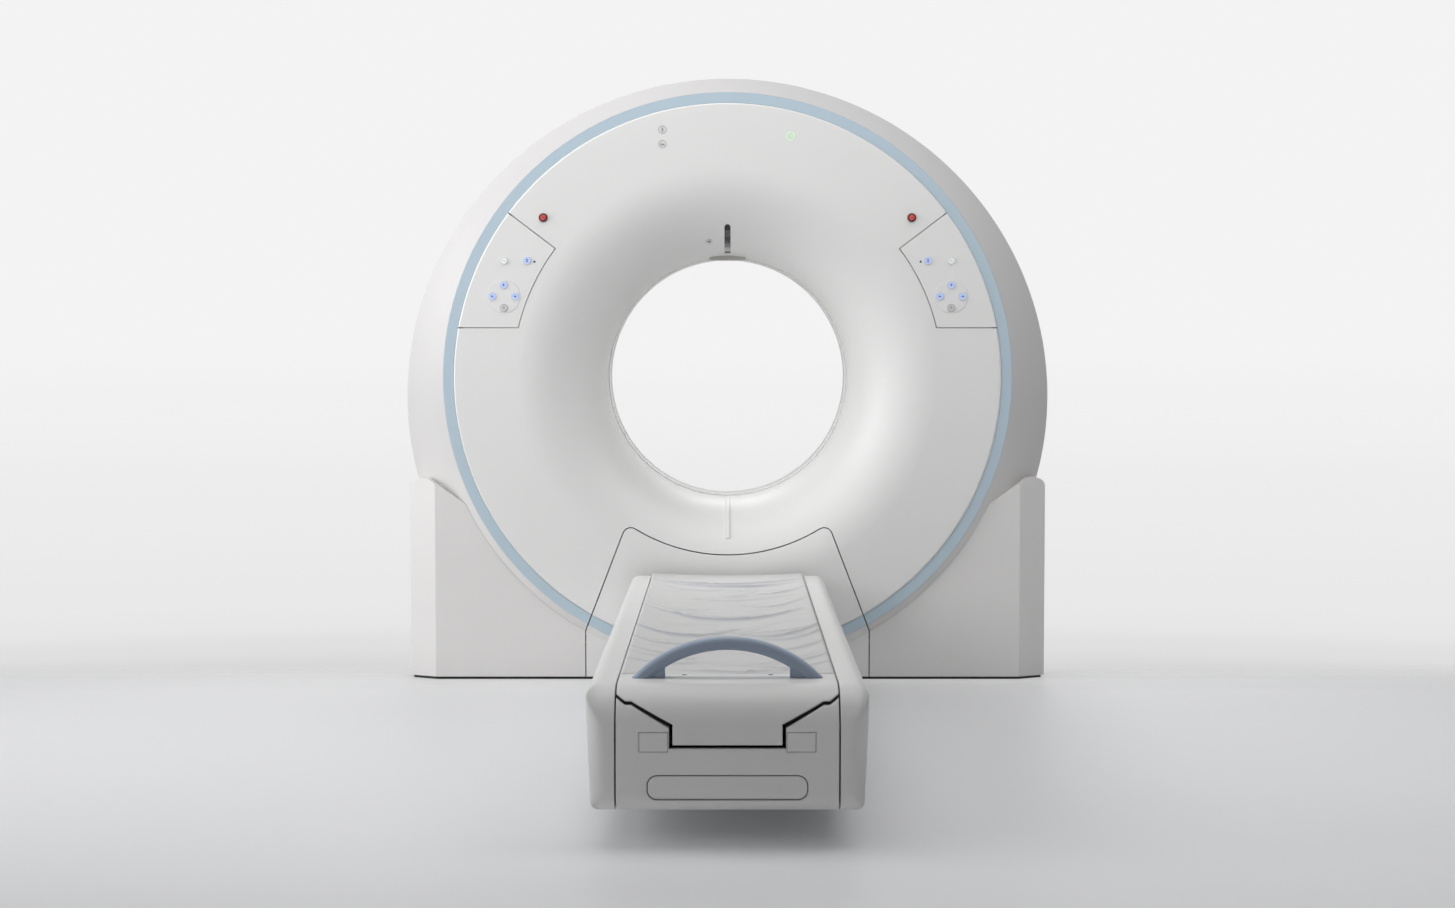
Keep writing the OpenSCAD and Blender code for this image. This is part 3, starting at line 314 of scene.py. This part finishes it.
# Main creases: x, place along the pad as a share, half width as a share, sag, width, height, lean
CREASES = [
    (0.00, 0.955, 1.00, 0.050, 0.028, 0.0050, 0.004),
    (-0.03, 0.905, 0.85, 0.040, 0.022, 0.0042, -0.020),
    (0.06, 0.890, 0.60, 0.030, 0.018, 0.0040, 0.016),
    (-0.10, 0.865, 0.50, 0.045, 0.020, 0.0036, -0.024),
    (0.13, 0.830, 0.40, 0.050, 0.020, 0.0030, 0.030),
    (0.02, 0.760, 0.80, 0.060, 0.026, 0.0026, 0.010),
    (0.12, 0.690, 0.45, 0.060, 0.022, 0.0030, 0.036),
    (-0.13, 0.640, 0.40, 0.050, 0.024, 0.0026, -0.030),
    (-0.02, 0.630, 0.98, 0.130, 0.030, 0.0056, -0.020),
    (-0.12, 0.455, 0.70, 0.110, 0.032, 0.0050, -0.040),
    (0.13, 0.430, 0.60, 0.090, 0.026, 0.0042, 0.050),
    (0.15, 0.360, 0.45, 0.060, 0.022, 0.0034, 0.040),
    (-0.16, 0.310, 0.40, 0.050, 0.020, 0.0036, -0.030),
    (0.15, 0.260, 0.42, 0.050, 0.020, 0.0034, 0.034),
    (-0.15, 0.215, 0.42, 0.040, 0.018, 0.0034, -0.026),
    (-0.14, 0.165, 0.40, 0.030, 0.016, 0.0032, -0.020),
    (0.16, 0.150, 0.36, 0.036, 0.016, 0.0034, 0.026),
    (-0.15, 0.115, 0.42, 0.026, 0.014, 0.0032, -0.014),
    (0.15, 0.090, 0.40, 0.030, 0.014, 0.0032, 0.018),
    (0.02, 0.050, 0.80, 0.020, 0.014, 0.0026, 0.000),
]

# Small creases: how many, the seed, and the range of each column in the same order
SMALL_COUNT, SMALL_SEED = 90, 7
SMALL_X_SHARES = (-0.9, 0.9)
SMALL_RANGES = [(0.02, 0.98), (0.2, 0.5), (0.0, 0.05), (0.010, 0.022), (0.0008, 0.0020), (0.0, 0.04)]


def small_creases(half):
    """Small creases scattered over the pad, in the same columns as the main ones."""
    rng = np.random.default_rng(SMALL_SEED)
    out = []
    for _ in range(SMALL_COUNT):
        x_share = rng.uniform(*SMALL_X_SHARES)
        *shape, lean = [rng.uniform(*span) for span in SMALL_RANGES]
        out.append((x_share * half, *shape, np.sign(x_share) * lean))
    return out


def ridge(x, y, x0, y0, half_w, sag, width, height, lean):
    """One cross crease: its height, with a tight fold behind it, and the shade of its front shoulder."""
    t = (x - x0) / half_w
    line = y0 - BOW * sag * (1.0 - t * t) + SWING * lean * t
    fade = np.clip(1.0 - t * t, 0.0, 1.0) ** TIP_POWER
    d = (y - line) / width
    crest = np.exp(-np.where(d < 0.0, d * d, STEEP * d * d))
    fold = np.exp(-((d - FOLD_PLACE) ** 2) / FOLD_SPREAD)
    shade = np.exp(-(((d - SHADE_PLACE) / SHADE_SPREAD) ** 2))
    depth = np.clip(height / FULL_SHADE_HEIGHT, 0.0, 1.0) ** SHADE_POWER
    return height * fade * (crest - FOLD_SHARE * fold), depth * fade * shade


def sheet_grid(low, high):
    """Top of the cover as a grid of points, and how deep each one lies in the creases' shade."""
    x, y = np.meshgrid(np.linspace(low[0], high[0], ACROSS), np.linspace(low[1], high[1], ALONG))
    x = x * (1.0 + TUCK / high[0])
    half = 0.5 * (high[0] - low[0]) + TUCK
    length = high[1] - low[1]
    t = x / half
    z = low[2] + (high[2] - low[2]) * (MIDDLE_SHARE + SIDE_SHARE * np.abs(t) ** SIDE_POWER)
    light = np.ones_like(z)
    for x0, v0, share, sag, width, height, lean in CREASES + small_creases(half):
        rise, shade = ridge(x, y, x0, low[1] + v0 * length, share * half, sag, width, height, lean)
        z += rise
        light *= 1.0 - SHADE_MOST * shade
    tail = ((y - low[1]) / length - TAIL_START_SHARE) / (1.0 - TAIL_START_SHARE)
    z += TAIL_RISE * np.clip(tail, 0.0, 1.0) ** TAIL_POWER
    from_side = np.clip((1.0 - np.abs(t)) * half / SIDE_ROUND, 0.0, 1.0)
    round_x = SIDE_ROUND_SHARE + (1.0 - SIDE_ROUND_SHARE) * from_side
    round_y = np.clip(np.minimum(y - low[1], high[1] - y) / END_ROUND, 0.0, 1.0)
    lift = np.sqrt(1.0 - (1.0 - np.minimum(round_x, round_y)) ** 2)
    rim = low[2] + RIM_HEIGHT
    z = np.clip(rim + (z - rim) * lift, low[2] + LOWEST, high[2] + HIGHEST)
    return x, y, z, 1.0 - light


def sheet_faces():
    """Faces of the cover: its top grid, two side walls, two ends and a plain underside."""
    faces = []
    top = ACROSS * ALONG
    for j in range(ALONG - 1):
        for i in range(ACROSS - 1):
            a = j * ACROSS + i
            faces.append((a, a + 1, a + ACROSS + 1, a + ACROSS))
        a, b, under = j * ACROSS, j * ACROSS + ACROSS - 1, top + 2 * j
        faces.append((a, a + ACROSS, under + 2, under))
        faces.append((b, under + 1, under + 3, b + ACROSS))
        faces.append((under, under + 2, under + 3, under + 1))
    last = (ALONG - 1) * ACROSS
    faces.append((top, top + 1, *range(ACROSS - 1, -1, -1)))
    faces.append((top + 2 * ALONG - 1, top + 2 * ALONG - 2, *range(last, last + ACROSS)))
    return faces


def shaded_sheet():
    """Cover cloth with painted shade, greyer and bluer, in the shoulders of its creases."""
    mat = MATERIALS["sheet_white"]
    tree = mat.node_tree
    base = find(mat, "BSDF_PRINCIPLED").inputs["Base Color"]
    plain = base.links[0].from_socket
    fold = tree.nodes.new("ShaderNodeAttribute")
    fold.attribute_name = "fold"
    tree.links.new(blend(tree, fold.outputs["Fac"], plain, CREASE_SHADE_TONE), base)
    return mat


def make_mattress():
    low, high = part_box("mattress")
    x, y, z, shade = sheet_grid(low, high)
    verts = np.stack([x.ravel(), y.ravel(), z.ravel()], axis=1).tolist()
    for j in range(ALONG):
        verts += [(float(x[j, k]), float(y[j, k]), float(low[2])) for k in (0, -1)]
    mesh = bpy.data.meshes.new("mattress_sheet")
    mesh.from_pydata(verts, [], sheet_faces())
    mesh.update()
    # The fold attribute holds the painted shade of the creases.
    fold = mesh.attributes.new("fold", "FLOAT", "POINT")
    fold.data.foreach_set("value", np.concatenate([shade.ravel(), np.zeros(2 * ALONG)]).astype(np.float32))
    mesh.polygons.foreach_set("use_smooth", [True] * len(mesh.polygons))
    mesh.set_sharp_from_angle(angle=SMOOTH_ANGLE)
    obj = bpy.data.objects.new("mattress_sheet", mesh)
    scene.collection.objects.link(obj)
    obj.data.materials.append(shaded_sheet())
    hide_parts("mattress")
    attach(obj, "table")


make_mattress()


# Small marks: icons, button signs, a line and dots of painted shade, other dots and lamp rings, drawn in
# millimetres

MM = 0.001
MARK_RISE = 0.00015
FRONT = (0.0, -1.0, 0.0)
UP = (0.0, 0.0, 1.0)


def flat_mark(name, shapes, centre, body, slot, normal=FRONT):
    """Thin plates from convex outlines, drawn as seen from the front and turned to the normal."""
    verts, faces = [], []
    turn = Vector(FRONT).rotation_difference(Vector(normal))
    for outline in shapes:
        k, n = len(verts), len(outline)
        for depth in (0.0, -MARK_RISE):
            verts += [Vector(centre) + turn @ Vector((p[0] * MM, depth, p[1] * MM)) for p in outline]
        faces.append(tuple(range(k + n, k + 2 * n)))
        faces.append(tuple(range(k + n - 1, k - 1, -1)))
        for i in range(n):
            j = (i + 1) % n
            faces.append((k + i, k + j, k + n + j, k + n + i))
    mesh = bpy.data.meshes.new(name)
    mesh.from_pydata(verts, [], faces)
    mesh.update()
    obj = bpy.data.objects.new(name, mesh)
    scene.collection.objects.link(obj)
    obj.data.materials.append(MATERIALS[slot])
    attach(obj, body)


def arc(r0, r1, a0=0.0, a1=360.0, n=24):
    """Outlines of a ring sector."""
    out = []
    for i in range(n):
        b = [math.radians(a0 + (a1 - a0) * (i + d) / n) for d in (0, 1)]
        corners = ((r0, b[0]), (r1, b[0]), (r1, b[1]), (r0, b[1]))
        out.append([(r * math.cos(t), r * math.sin(t)) for r, t in corners])
    return out


def disc(x, y, r, n=16):
    """Outline of a round dot."""
    steps = [2 * math.pi * i / n for i in range(n)]
    return [(x + r * math.cos(t), y + r * math.sin(t)) for t in steps]


def bar(x0, y0, x1, y1, w):
    """Outline of a straight stroke."""
    d = math.hypot(x1 - x0, y1 - y0)
    nx, ny = -(y1 - y0) / d * w / 2, (x1 - x0) / d * w / 2
    return [(x0 + nx, y0 + ny), (x0 - nx, y0 - ny), (x1 - nx, y1 - ny), (x1 + nx, y1 + ny)]


def turned(shapes, deg):
    c, s = math.cos(math.radians(deg)), math.sin(math.radians(deg))
    return [[(x * c - y * s, x * s + y * c) for x, y in outline] for outline in shapes]


def moved(shapes, dx, dy):
    return [[(x + dx, y + dy) for x, y in outline] for outline in shapes]


def front_centre(node):
    """Middle of a node's front face."""
    low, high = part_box(node)
    return (0.5 * (low[0] + high[0]), low[1], 0.5 * (low[2] + high[2]))


ICON_RIM = (10.3, 11.2)


def make_icons():
    """A person and a bed on the two round icon discs."""
    low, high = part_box("icon_discs")
    mid, r = 0.5 * (low[0] + high[0]), 0.5 * (high[0] - low[0])
    rim = arc(*ICON_RIM)
    person = [
        disc(0, 4.6, 1.9), bar(0, 2.2, 0, -2.2, 2.6), bar(0, -2, -2.4, -6.8, 1.3),
        bar(0, -2, 2.4, -6.8, 1.3), bar(-3.6, 1.4, 3.6, 1.4, 1.2),
    ]
    bed = [
        bar(-6, -2.6, 6, -2.6, 1.6), bar(-5, -2.6, -5, -5.6, 1.2), bar(5, -2.6, 5, -5.6, 1.2),
        disc(-4.2, 0.6, 1.7), bar(-2, 0, 5.4, 0, 2.2),
    ]
    flat_mark("icon_person", rim + person, (mid, low[1], high[2] - r), "stand", "sign_grey")
    flat_mark("icon_bed", rim + bed, (mid, low[1], low[2] + r), "stand", "sign_grey")


def button_signs():
    """Outlines and finish of the sign on each button."""
    arrow = [[(-4.2, -0.5), (4.2, -0.5), (0, 4.2)], bar(0, -0.5, 0, -4.4, 2.2)]
    lift = [bar(-3.6, -3.4, 3.6, -3.4, 1.4), bar(-3.6, 3.4, 3.6, 3.4, 1.4), bar(0, -3, 0, 3, 2.6)]
    return {
        "up": (arrow, "sign_blue"),
        "west": (turned(arrow, 90), "sign_blue"),
        "east": (turned(arrow, -90), "sign_blue"),
        "in": (lift, "sign_blue"),
        "down": (arc(2.6, 3.8, n=16) + [bar(0, 0, 0, 5.0, 1.3)], "sign_grey"),
        "out": ([bar(-3.8, 2.6, 3.8, -2.6, 1.3)], "sign_cream"),
    }


WIDE_RIM, THIN_RIM = (8.6, 10.2), (9.5, 10.2)
STOP_RING, STOP_SWEEP_DEG = (4.0, 5.0), (40, 320)
MIC_R, MIC_ASIDE, MIC_DOWN, MIC_DEPTH = 2.9, 0.0211, 0.0031, 0.0006


def make_panel_marks(side):
    """Signs and rims of a control panel's buttons, its stop's sign and its microphone dot."""
    for key, (shapes, slot) in button_signs().items():
        node = f"button_{side}_{key}"
        spot = front_centre(node)
        flat_mark(f"sign_{side}_{key}", shapes, spot, node + "_body", slot)
        rim, rim_slot = (THIN_RIM, "sign_grey") if key == "down" else (WIDE_RIM, "sign_pale")
        flat_mark(f"rim_{side}_{key}", arc(*rim), spot, node + "_body", rim_slot)
    stop = arc(*STOP_RING, *STOP_SWEEP_DEG, 16) + [bar(2.4, 3.2, 5.2, 4.4, 1.1)]
    flat_mark(f"sign_stop_{side}", stop, front_centre(f"estop_{side}"), f"estop_{side}_body", "sign_rose")
    way = 1.0 if side == "left" else -1.0
    spot = front_centre(f"button_{side}_in")
    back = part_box(f"control_panel_{side}")[0][1] + MIC_DEPTH
    place = (spot[0] + way * MIC_ASIDE, back, spot[2] - MIC_DOWN)
    flat_mark(f"mic_{side}", [disc(0, 0, MIC_R)], place, "stand", "sign_black")


# Painted shade in the pill panel's gap: where its corners bend, its width and its overlap.
PILL_BEND_SHARE, PILL_SHADE_WIDTH, PILL_OVERLAP = 0.82, 1.5, 0.2


def make_pill_groove_shade():
    """Painted shade of the gap just outside the pill-shaped panel, drawn as a dark line."""
    low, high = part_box("pill_panel")
    wide, tall = [0.5 * (high[k] - low[k]) / MM for k in (0, 2)]
    bend = PILL_BEND_SHARE * tall
    middle = 0.5 * PILL_SHADE_WIDTH - PILL_OVERLAP
    line = []
    for sx, sy, start in ((1, 1, 0), (-1, 1, 90), (-1, -1, 180), (1, -1, 270)):
        corner = arc(bend - PILL_OVERLAP, bend + PILL_SHADE_WIDTH - PILL_OVERLAP, start, start + 90, 10)
        line += moved(corner, sx * (wide - bend), sy * (tall - bend))
    for s in (1, -1):
        line.append(bar(s * (wide + middle), bend - tall, s * (wide + middle), tall - bend, PILL_SHADE_WIDTH))
        line.append(bar(bend - wide, s * (tall + middle), wide - bend, s * (tall + middle), PILL_SHADE_WIDTH))
    flat_mark("pill_groove_shade", line, front_centre("pill_panel"), "couch", "sign_black")


HOOK_X, HOOK_IN, HOOK_R = 0.087, 0.008, 5.5


def make_hook_hole_shades():
    """Painted shade of two hook holes in the top of the end cap, drawn as dark discs."""
    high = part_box("end_cap")[1]
    for side, x in zip(SIDES, (-HOOK_X, HOOK_X)):
        place = (x, high[1] - HOOK_IN, high[2])
        flat_mark(f"hook_{side}", [disc(0, 0, HOOK_R)], place, "table", "sign_black", normal=UP)


EYE_R, EYE_INWARD, EYE_FORWARD, EYE_PROUD = 3.2, 0.817, 0.577, 0.0044


def make_sensor_eye():
    """Dark eye on the face of the round sensor, which follows the funnel's slope."""
    low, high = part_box("round_sensor")
    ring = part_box("accent_ring")
    middle = Vector([0.5 * (a + b) for a, b in zip(low, high)])
    ring_z = 0.5 * (ring[0][2] + ring[1][2])
    outward = Vector((middle[0], 0.0, middle[2] - ring_z)).normalized()
    normal = EYE_FORWARD * Vector(FRONT) - EYE_INWARD * outward
    face = middle + EYE_PROUD * normal.normalized()
    flat_mark("sensor_eye", [disc(0, 0, EYE_R)], face, "stand", "sign_black", normal=normal)


LAMP_RIM, LAMP_EYE = (6.4, 8.4), (1.6, 3.2)


def make_lamp_rings():
    """Two green rings on the status lamp."""
    rings = arc(*LAMP_RIM) + arc(*LAMP_EYE, n=16)
    flat_mark("lamp_ring", rings, front_centre("status_lamp"), "stand", "sign_green")


make_icons()
for side in SIDES:
    make_panel_marks(side)
make_pill_groove_shade()
make_hook_hole_shades()
make_sensor_eye()
make_lamp_rings()


# Stage: floor, backdrop, lamps and camera

FLOOR_CORNERS = [(-9, -9, 0), (9, -9, 0), (9, 1.6, 0), (-9, 1.6, 0)]
FLOOR_TONE, FLOOR_SPREAD = (0.752, 0.757, 0.767), 0.01
FLOOR_DRIFT_SCALE, FLOOR_DRIFT_DETAIL = 0.7, 2.0
FLOOR_ROUGH, FLOOR_SPECULAR = 0.45, 0.3
FLOOR_FADE_Y = (-0.55, 0.05)
# Painted light on the floor, as glow: on the right, towards the camera and far from the object.
RIGHT_X, RIGHT_PAINTED_LIGHT = (0.35, 1.1), (0.0, 0.12)
RIGHT_Y, RIGHT_SHARES = (-2.4, -0.6), (0.3, 1.0)
NEAR_Y, NEAR_PAINTED_LIGHT = (-2.6, -0.8), (0.09, 0.0)
FAR_CENTRE, FAR_REACH, FAR_PAINTED_LIGHT = (0.0, -1.0, 0.0), (2.4, 5.5), 0.50


def floor_painted_light(tree):
    """Glow of the floor, painted light: on the right, towards the camera and far from the object."""
    spot = axes(tree)
    right = remap(tree, spot["X"], RIGHT_X, RIGHT_PAINTED_LIGHT)
    share = remap(tree, spot["Y"], RIGHT_Y, RIGHT_SHARES)
    near = remap(tree, spot["Y"], NEAR_Y, NEAR_PAINTED_LIGHT)
    coord = tree.nodes.new("ShaderNodeTexCoord")
    span = tree.nodes.new("ShaderNodeVectorMath")
    span.operation = "DISTANCE"
    span.inputs[1].default_value = FAR_CENTRE
    tree.links.new(coord.outputs["Object"], span.inputs[0])
    far = remap(tree, span.outputs["Value"], FAR_REACH, smooth=True)
    glow = tree.nodes.new("ShaderNodeMath")
    glow.operation = "MULTIPLY_ADD"
    tree.links.new(right, glow.inputs[0])
    tree.links.new(share, glow.inputs[1])
    tree.links.new(blend(tree, far, near, FAR_PAINTED_LIGHT, "FLOAT"), glow.inputs[2])
    return glow.outputs["Value"]


def make_floor():
    """Studio floor that fades into the backdrop behind the gantry's front."""
    mesh = bpy.data.meshes.new("floor")
    mesh.from_pydata(FLOOR_CORNERS, [], [(0, 1, 2, 3)])
    obj = bpy.data.objects.new("floor", mesh)
    scene.collection.objects.link(obj)
    mat, tree, bsdf = new_material("floor")
    drift = remap(tree, noise(tree, FLOOR_DRIFT_SCALE, FLOOR_DRIFT_DETAIL), NOISE_SPAN)
    tree.links.new(tint(tree, drift, FLOOR_TONE, FLOOR_SPREAD), bsdf.inputs["Base Color"])
    bsdf.inputs["Roughness"].default_value = FLOOR_ROUGH
    bsdf.inputs["Specular IOR Level"].default_value = FLOOR_SPECULAR
    bsdf.inputs["Emission Color"].default_value = COOL_WHITE
    tree.links.new(floor_painted_light(tree), bsdf.inputs["Emission Strength"])
    clear = tree.nodes.new("ShaderNodeBsdfTransparent")
    mix = tree.nodes.new("ShaderNodeMixShader")
    fade = remap(tree, axes(tree)["Y"], FLOOR_FADE_Y, smooth=True)
    tree.links.new(fade, mix.inputs["Fac"])
    tree.links.new(bsdf.outputs["BSDF"], mix.inputs[1])
    tree.links.new(clear.outputs["BSDF"], mix.inputs[2])
    tree.links.new(mix.outputs["Shader"], find(mat, "OUTPUT_MATERIAL").inputs["Surface"])
    obj.data.materials.append(mat)


BACKDROP_Z = (-0.16, 0.0)
BACKDROP = [
    (0.0, 0.69), (0.09, 0.694), (0.15, 0.745), (0.215, 0.80),
    (0.27, 0.813), (0.55, 0.838), (0.81, 0.875), (1.0, 0.896),
]
FILL_STRENGTH = 0.115


def make_world():
    """Backdrop for what is seen or mirrored, and a dim even fill for the light."""
    world = bpy.data.worlds.new("studio")
    scene.world = world
    world.use_nodes = True
    tree = world.node_tree
    tree.nodes.clear()
    out = tree.nodes.new("ShaderNodeOutputWorld")
    seen = tree.nodes.new("ShaderNodeBackground")
    fill = tree.nodes.new("ShaderNodeBackground")
    level = remap(tree, axes(tree, "Generated")["Z"], BACKDROP_Z)
    backdrop = grey_ramp(tree, level, BACKDROP)
    backdrop.color_ramp.interpolation = "EASE"
    tree.links.new(backdrop.outputs["Color"], seen.inputs["Color"])
    fill.inputs["Color"].default_value = COOL_WHITE
    fill.inputs["Strength"].default_value = FILL_STRENGTH
    path = tree.nodes.new("ShaderNodeLightPath")
    mix = tree.nodes.new("ShaderNodeMixShader")
    seen_by = path.outputs["Is Camera Ray"]
    for kind in ("Is Glossy Ray", "Is Transmission Ray"):
        either = tree.nodes.new("ShaderNodeMath")
        either.operation = "MAXIMUM"
        tree.links.new(seen_by, either.inputs[0])
        tree.links.new(path.outputs[kind], either.inputs[1])
        seen_by = either.outputs["Value"]
    tree.links.new(seen_by, mix.inputs["Fac"])
    tree.links.new(fill.outputs["Background"], mix.inputs[1])
    tree.links.new(seen.outputs["Background"], mix.inputs[2])
    tree.links.new(mix.outputs["Shader"], out.inputs["Surface"])


def make_lamp(name, place, target, size, power, spread=180.0):
    data = bpy.data.lights.new(name, "AREA")
    data.shape = "RECTANGLE"
    data.size, data.size_y = size
    data.energy = power
    data.spread = math.radians(spread)
    obj = bpy.data.objects.new(name, data)
    obj.location = place
    obj.rotation_euler = (Vector(target) - Vector(place)).to_track_quat("-Z", "Y").to_euler()
    scene.collection.objects.link(obj)


SENSOR_WIDTH, LENS = 36.0, 53.363
CAMERA_PLACE, CAMERA_DIP_DEG = (0.0, -6.570, 0.9753), 2.895


def make_camera():
    data = bpy.data.cameras.new("camera")
    data.sensor_fit = "HORIZONTAL"
    data.sensor_width = SENSOR_WIDTH
    data.lens = LENS
    obj = bpy.data.objects.new("camera", data)
    obj.location = CAMERA_PLACE
    obj.rotation_euler = (math.radians(90.0 - CAMERA_DIP_DEG), 0.0, 0.0)
    scene.collection.objects.link(obj)
    scene.camera = obj


make_floor()
make_world()
make_lamp("top", (-0.6, -1.5, 3.4), (0.0, -0.5, 0.7), (3.0, 2.4), 37.0)
make_lamp("left", (-4.0, -1.2, 2.0), (0.0, -0.2, 0.9), (2.4, 2.4), 34.0, 110.0)
make_lamp("right", (1.8, -1.6, 3.2), (-0.2, -0.2, 0.8), (2.0, 2.0), 22.5)
make_lamp("front", (-3.4, -3.2, 1.7), (0.0, -0.2, 0.8), (2.4, 2.0), 12.8, 110.0)
make_lamp("back", (0.0, 3.0, 3.4), (0.0, 0.4, 0.9), (2.6, 1.6), 11.0, 90.0)
make_camera()
scene.view_settings.view_transform = "Standard"
scene.view_settings.look = "None"
